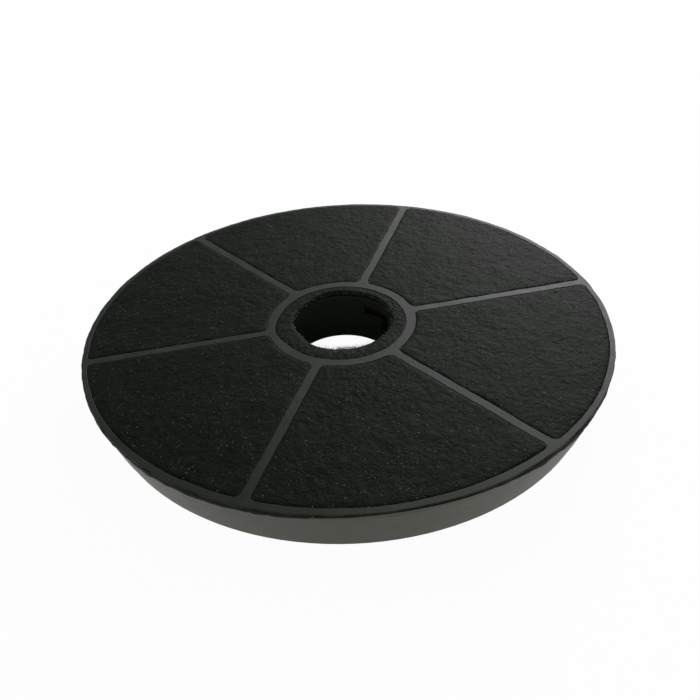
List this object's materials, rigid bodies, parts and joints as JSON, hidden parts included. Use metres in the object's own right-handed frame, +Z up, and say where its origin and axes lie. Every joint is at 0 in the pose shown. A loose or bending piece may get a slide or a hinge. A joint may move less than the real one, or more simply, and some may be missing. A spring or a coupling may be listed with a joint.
{
  "type": "cooker hood carbon filter",
  "caption": "Round black charcoal filter for a cooker hood: fleece face under a ribbed frame, tapered wall, bayonet bore and slotted floor.",
  "frame": {"origin": "centre of the underside, on the bore's axis", "axes": "+Z up the bore towards the fleece face, +X along one rib of the frame"},
  "size_m": [0.21, 0.21, 0.022],
  "materials": {
    "housing_plastic": "satin moulded",
    "frame_plastic": "matte moulded",
    "fleece": "non-woven",
    "carbon": "granules"
  },
  "bodies": {
    "root": {"housing": "housing_plastic", "top_frame": "frame_plastic", "top_fleece": "fleece", "lower_fleece_1": "fleece", "lower_fleece_2": "fleece", "lower_fleece_3": "fleece", "lower_fleece_4": "fleece", "lower_fleece_5": "fleece", "lower_fleece_6": "fleece", "carbon_bed_1": "carbon", "carbon_bed_2": "carbon", "carbon_bed_3": "carbon", "carbon_bed_4": "carbon", "carbon_bed_5": "carbon", "carbon_bed_6": "carbon"}
  },
  "joints": []
}
